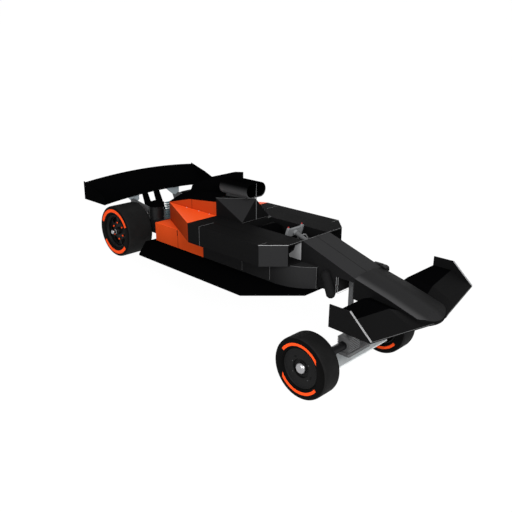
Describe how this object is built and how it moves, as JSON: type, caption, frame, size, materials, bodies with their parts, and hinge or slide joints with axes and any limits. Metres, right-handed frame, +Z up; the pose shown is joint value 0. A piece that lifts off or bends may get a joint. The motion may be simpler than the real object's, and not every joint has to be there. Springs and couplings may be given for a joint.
{
  "type": "formula racing car",
  "caption": "Open-wheel single-seat racing car with front and rear wings, sidepods, airbox and shark fin, standing nose-up on its four wheels; steering axle and wheels turn.",
  "frame": {"origin": "centre of the car's box, on the ground under the tyres", "axes": "+X to the car's nose, +Y to the driver's left, +Z up; the body's own level is turned nose-up about Y"},
  "size_m": [5.3018, 2.014, 1.7377],
  "materials": {
    "paint_black": "satin",
    "gloss_black": "gloss",
    "paint_orange": "satin",
    "tyre_rubber": "matte",
    "wheel_dark": "satin",
    "light_metal": "satin",
    "grey_metal": "satin",
    "dark_metal": "satin",
    "seat_dark": "matte",
    "grip_grey": "matte"
  },
  "bodies": {
    "chassis": {"airbox": "grey_metal", "engine_block": "dark_metal", "engine_cooling_fins": "dark_metal", "engine_cover_top": "gloss_black", "engine_cover_walls": "paint_orange", "engine_cylinders": "dark_metal", "engine_heads": "dark_metal", "floor_plate": "gloss_black", "front_wing_endplates": "paint_black", "front_wing_flaps": "gloss_black", "front_wing_main": "paint_black", "gearbox": "dark_metal", "lower_rear_left": "paint_orange", "lower_rear_right": "paint_orange", "lower_tub": "paint_black", "nose_box": "paint_black", "nose_cone": "paint_black", "nose_tubes": "gloss_black", "pedals": "dark_metal", "radiator_cores": "dark_metal", "rear_axle_tubes": "dark_metal", "rear_deck_left": "paint_orange", "rear_deck_right": "paint_orange", "rear_fences": "light_metal", "rear_hub_carriers": "grey_metal", "rear_spindles": "dark_metal", "rear_wing_endplates": "gloss_black", "rear_wing_plane": "gloss_black", "rear_wing_struts": "gloss_black", "roll_hoop_fairing": "paint_black", "seat": "seat_dark", "sidepod_left": "paint_black", "sidepod_right": "paint_black", "steering_column": "grey_metal", "steering_post": "grey_metal", "tail_cross_member": "dark_metal"},
    "front_axle": {"front_axle_block": "light_metal", "front_axle_plate": "light_metal", "front_axle_tubes": "dark_metal"},
    "steering_wheel": {"steering_wheel": "grip_grey"},
    "wheel_front_right": {"tyre_front_right": "tyre_rubber", "rim_front_right": "wheel_dark"},
    "wheel_front_left": {"tyre_front_left": "tyre_rubber", "rim_front_left": "wheel_dark"},
    "wheel_rear_right": {"tyre_rear_right": "tyre_rubber", "rim_rear_right": "wheel_dark"},
    "wheel_rear_left": {"tyre_rear_left": "tyre_rubber", "rim_rear_left": "wheel_dark"}
  },
  "joints": [
    {"name": "front_steering", "type": "hinge", "parent": "chassis", "child": "front_axle", "pos_m": [1.67056, 0, 0.37], "axis": [-0.2152, 0, 0.9766], "range_deg": [-15, 15]},
    {"name": "steering_wheel_turn", "type": "hinge", "parent": "chassis", "child": "steering_wheel", "pos_m": [0.51943, 0, 1.34208], "axis": [0.9913, 0, -0.1318], "range_deg": [-180, 180]},
    {"name": "front_right_wheel_spin", "type": "hinge", "parent": "front_axle", "child": "wheel_front_right", "pos_m": [1.67056, -0.767, 0.37], "axis": [0, 1, 0], "continuous": true},
    {"name": "front_left_wheel_spin", "type": "hinge", "parent": "front_axle", "child": "wheel_front_left", "pos_m": [1.67056, 0.767, 0.37], "axis": [0, 1, 0], "continuous": true},
    {"name": "rear_right_wheel_spin", "type": "hinge", "parent": "chassis", "child": "wheel_rear_right", "pos_m": [-2.00555, -0.664, 0.37], "axis": [0, 1, 0], "continuous": true},
    {"name": "rear_left_wheel_spin", "type": "hinge", "parent": "chassis", "child": "wheel_rear_left", "pos_m": [-2.00555, 0.664, 0.37], "axis": [0, 1, 0], "continuous": true}
  ],
  "couplings": [
    {"joint": "steering_wheel_turn", "follows": "front_steering", "ratio": -12}
  ]
}
